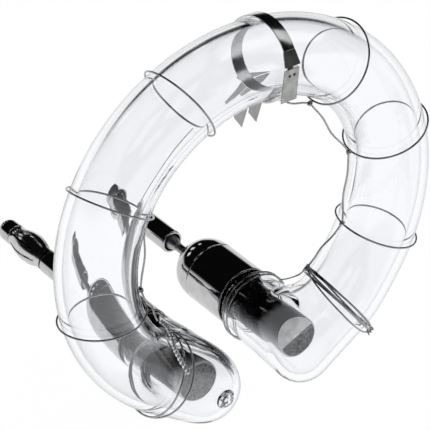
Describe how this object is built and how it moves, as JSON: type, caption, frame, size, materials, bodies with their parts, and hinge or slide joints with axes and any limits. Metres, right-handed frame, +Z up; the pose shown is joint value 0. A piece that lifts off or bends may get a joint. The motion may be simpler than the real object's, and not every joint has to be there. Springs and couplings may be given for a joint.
{
  "type": "ring flash tube",
  "caption": "Clear glass ring flash tube on two plug-in legs, with electrodes inside, a trigger wire wound round the ring and a flat spring contact strap.",
  "frame": {"origin": "on the ground, midway under the part's bounding box", "axes": "+Z up through the upright ring, +X across the two legs towards the right one, +Y from the ring's front to the plugs"},
  "size_m": [0.0646, 0.0586, 0.0633],
  "materials": {
    "clear_glass": "clear, polished, hollow",
    "chrome": "bright plated",
    "spring_steel": "satin, rolled sheet",
    "trigger_wire": "drawn, slightly shiny",
    "tungsten": "dark drawn metal",
    "polished_electrode": "polished side, grey sintered end",
    "nickel": "satin, crimped",
    "solder": "dull grey",
    "cement": "matt"
  },
  "bodies": {
    "lamp": {"glass_envelope": "clear_glass", "left_electrode_pellet": "polished_electrode", "left_electrode_collar": "nickel", "left_lead_rod": "tungsten", "left_seal_bead": "clear_glass", "left_cap_cement": "cement", "left_end_cap": "chrome", "left_solder_joint": "solder", "left_plug_sleeve": "chrome", "left_plug_pin": "chrome", "right_electrode_pellet": "polished_electrode", "right_electrode_collar": "nickel", "right_lead_rod": "tungsten", "right_seal_bead": "clear_glass", "right_cap_cement": "cement", "right_end_cap": "chrome", "right_solder_joint": "solder", "right_plug_sleeve": "chrome", "right_plug_pin": "chrome", "wire_loop_lower_right": "trigger_wire", "wire_loop_mid_right": "trigger_wire", "wire_loop_upper_right": "trigger_wire", "wire_loop_upper_left": "trigger_wire", "wire_loop_mid_left": "trigger_wire", "wire_loop_lower_left": "trigger_wire", "wire_end_turn_left_outer": "trigger_wire", "wire_end_turn_left_inner": "trigger_wire", "wire_end_turn_right_outer": "trigger_wire", "wire_end_turn_right_inner": "trigger_wire", "wire_leg_turn_front": "trigger_wire", "wire_leg_turn_back": "trigger_wire", "wire_spine_left": "trigger_wire", "wire_spine_right": "trigger_wire", "wire_twisted_tail": "trigger_wire", "trigger_band": "spring_steel", "strap_clip": "spring_steel", "rear_contact_bridge": "spring_steel"},
    "left_cage": {"left_spring_cage": "spring_steel"},
    "right_cage": {"right_spring_cage": "spring_steel"},
    "front_tongue": {"contact_tongue_front": "spring_steel"},
    "rear_left_tongue": {"contact_tongue_rear_left": "spring_steel"},
    "rear_right_tongue": {"contact_tongue_rear_right": "spring_steel"}
  },
  "joints": [
    {"name": "left_cage_spin", "type": "hinge", "parent": "lamp", "child": "left_cage", "pos_m": [-0.00939, 0.02125, 0.00595], "axis": [0, 1, 0], "continuous": true},
    {"name": "right_cage_spin", "type": "hinge", "parent": "lamp", "child": "right_cage", "pos_m": [0.00939, 0.02125, 0.00595], "axis": [0, 1, 0], "continuous": true},
    {"name": "front_tongue_flex", "type": "hinge", "parent": "lamp", "child": "front_tongue", "pos_m": [0.00275, -0.029, 0.05824], "axis": [1, 0, 0], "range_deg": [-8, 8], "stiffness_Nm_per_rad": 0.005},
    {"name": "rear_left_tongue_flex", "type": "hinge", "parent": "lamp", "child": "rear_left_tongue", "pos_m": [0.0038, -0.01715, 0.04924], "axis": [1, 0, 0], "range_deg": [-8, 8], "stiffness_Nm_per_rad": 0.005},
    {"name": "rear_right_tongue_flex", "type": "hinge", "parent": "lamp", "child": "rear_right_tongue", "pos_m": [0.00637, -0.01715, 0.04924], "axis": [1, 0, 0], "range_deg": [-8, 8], "stiffness_Nm_per_rad": 0.005}
  ]
}
